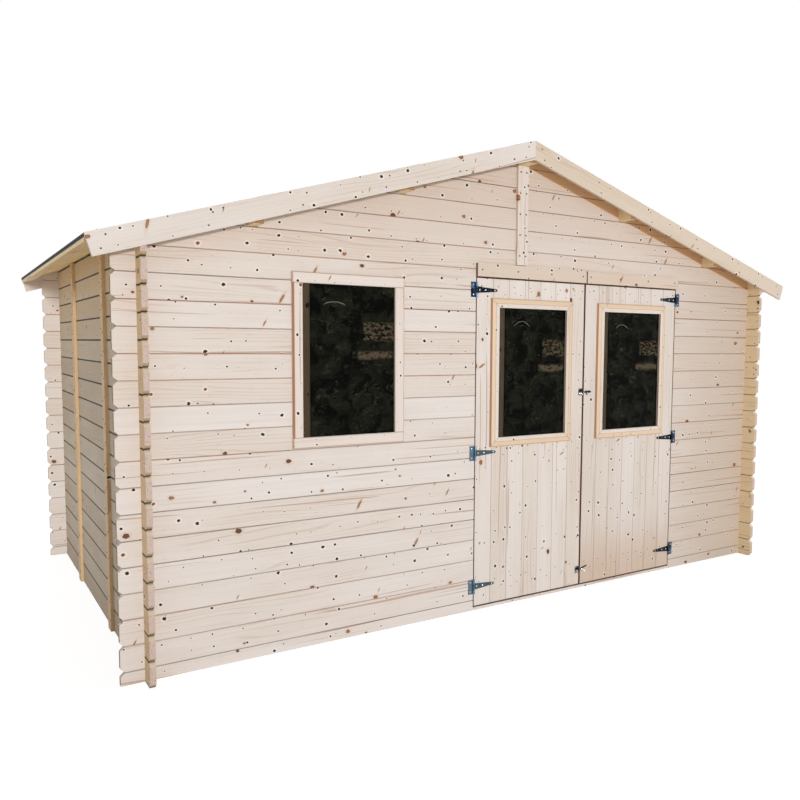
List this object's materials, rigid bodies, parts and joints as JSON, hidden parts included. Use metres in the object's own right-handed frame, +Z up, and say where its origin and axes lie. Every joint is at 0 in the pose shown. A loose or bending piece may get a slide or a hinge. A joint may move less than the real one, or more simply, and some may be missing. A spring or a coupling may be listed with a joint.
{
  "type": "wooden garden shed",
  "caption": "Garden shed of interlocking wall boards with a low gabled roof, glazed double doors on strap hinges and a fixed window.",
  "frame": {"origin": "on the ground under the middle of the roof", "axes": "+X to the right seen from the doors, along the long front wall; +Y to the rear; +Z up"},
  "size_m": [4.414, 2.668, 2.5298],
  "materials": {
    "wall_wood": "planed untreated softwood wall boards",
    "door_wood": "planed untreated softwood door boards",
    "trim_wood": "planed untreated softwood trim",
    "frame_wood": "planed softwood window frames, warmer in tone",
    "roof_wood": "planed softwood roof boards and purlins",
    "roofing_felt": "black mineral roofing felt",
    "glass": "clear glass that reads dark",
    "zinc_steel": "zinc-plated steel"
  },
  "bodies": {
    "root": {"front_wall_left": "wall_wood", "front_wall_right": "wall_wood", "front_gable": "wall_wood", "rear_wall": "wall_wood", "rear_gable": "wall_wood", "left_wall": "wall_wood", "right_wall": "wall_wood", "gable_battens": "trim_wood", "left_wall_battens": "trim_wood", "right_wall_battens": "trim_wood", "ridge_purlin": "roof_wood", "side_purlins": "roof_wood", "roof_boards_left": "roof_wood", "roof_boards_right": "roof_wood", "eave_batten_left": "roof_wood", "eave_batten_right": "roof_wood", "felt_left": "roofing_felt", "felt_right": "roofing_felt", "bargeboard_front_left": "trim_wood", "bargeboard_front_right": "trim_wood", "bargeboard_rear_left": "trim_wood", "bargeboard_rear_right": "trim_wood", "window_casing": "frame_wood", "window_glass": "glass", "window_inner_frame": "frame_wood", "door_jamb_left": "trim_wood", "door_jamb_right": "trim_wood", "door_head": "trim_wood", "door_sill": "trim_wood", "door_head_trims": "trim_wood", "hinge_plates": "zinc_steel"},
    "left_door": {"left_door_boards": "door_wood", "left_door_ledges": "door_wood", "left_door_casing": "frame_wood", "left_door_glass": "glass", "left_door_inner_frame": "frame_wood", "left_hinge_straps": "zinc_steel", "left_door_latches": "zinc_steel"},
    "right_door": {"right_door_boards": "door_wood", "right_door_ledges": "door_wood", "right_door_casing": "frame_wood", "right_door_glass": "glass", "right_door_inner_frame": "frame_wood", "right_hinge_straps": "zinc_steel", "right_door_latches": "zinc_steel"}
  },
  "joints": [
    {"name": "left_door_hinge", "type": "hinge", "parent": "root", "child": "left_door", "pos_m": [-0.295, -1.226, 0], "axis": [0, 0, -1], "range_deg": [0, 150]},
    {"name": "right_door_hinge", "type": "hinge", "parent": "root", "child": "right_door", "pos_m": [1.251, -1.226, 0], "axis": [0, 0, 1], "range_deg": [0, 150]}
  ]
}
